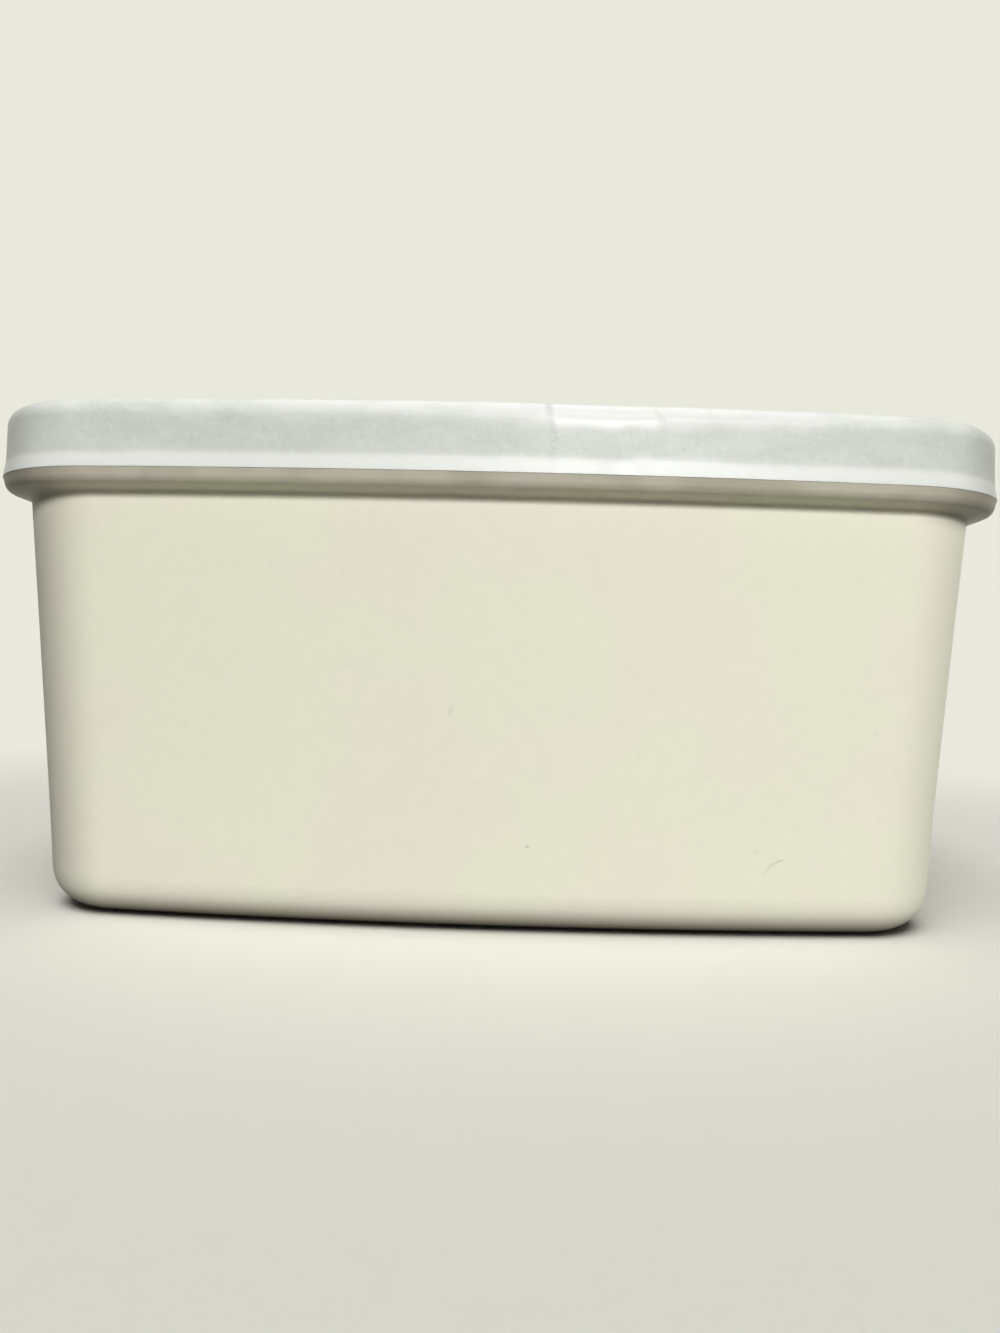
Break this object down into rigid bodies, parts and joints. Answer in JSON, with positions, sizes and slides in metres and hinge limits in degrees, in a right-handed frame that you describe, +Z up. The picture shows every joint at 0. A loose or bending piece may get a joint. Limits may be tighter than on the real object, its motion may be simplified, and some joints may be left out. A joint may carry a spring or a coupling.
{
  "type": "plastic storage container",
  "caption": "Shut rectangular food tub of cream plastic with bowed, tapering walls, rounded corners and a frosted press-on lid with a tall skirt.",
  "frame": {"origin": "middle of the base, on the surface that the tub stands on", "axes": "+X along the tub's length, +Y across its width from the front to the back, +Z up"},
  "size_m": [0.1678, 0.1138, 0.0813],
  "materials": {
    "tub": "cream, opaque, fine satin",
    "lid": "frosted white, slightly translucent, satin"
  },
  "bodies": {
    "root": {"tub": "tub", "lid": "lid"}
  },
  "joints": []
}
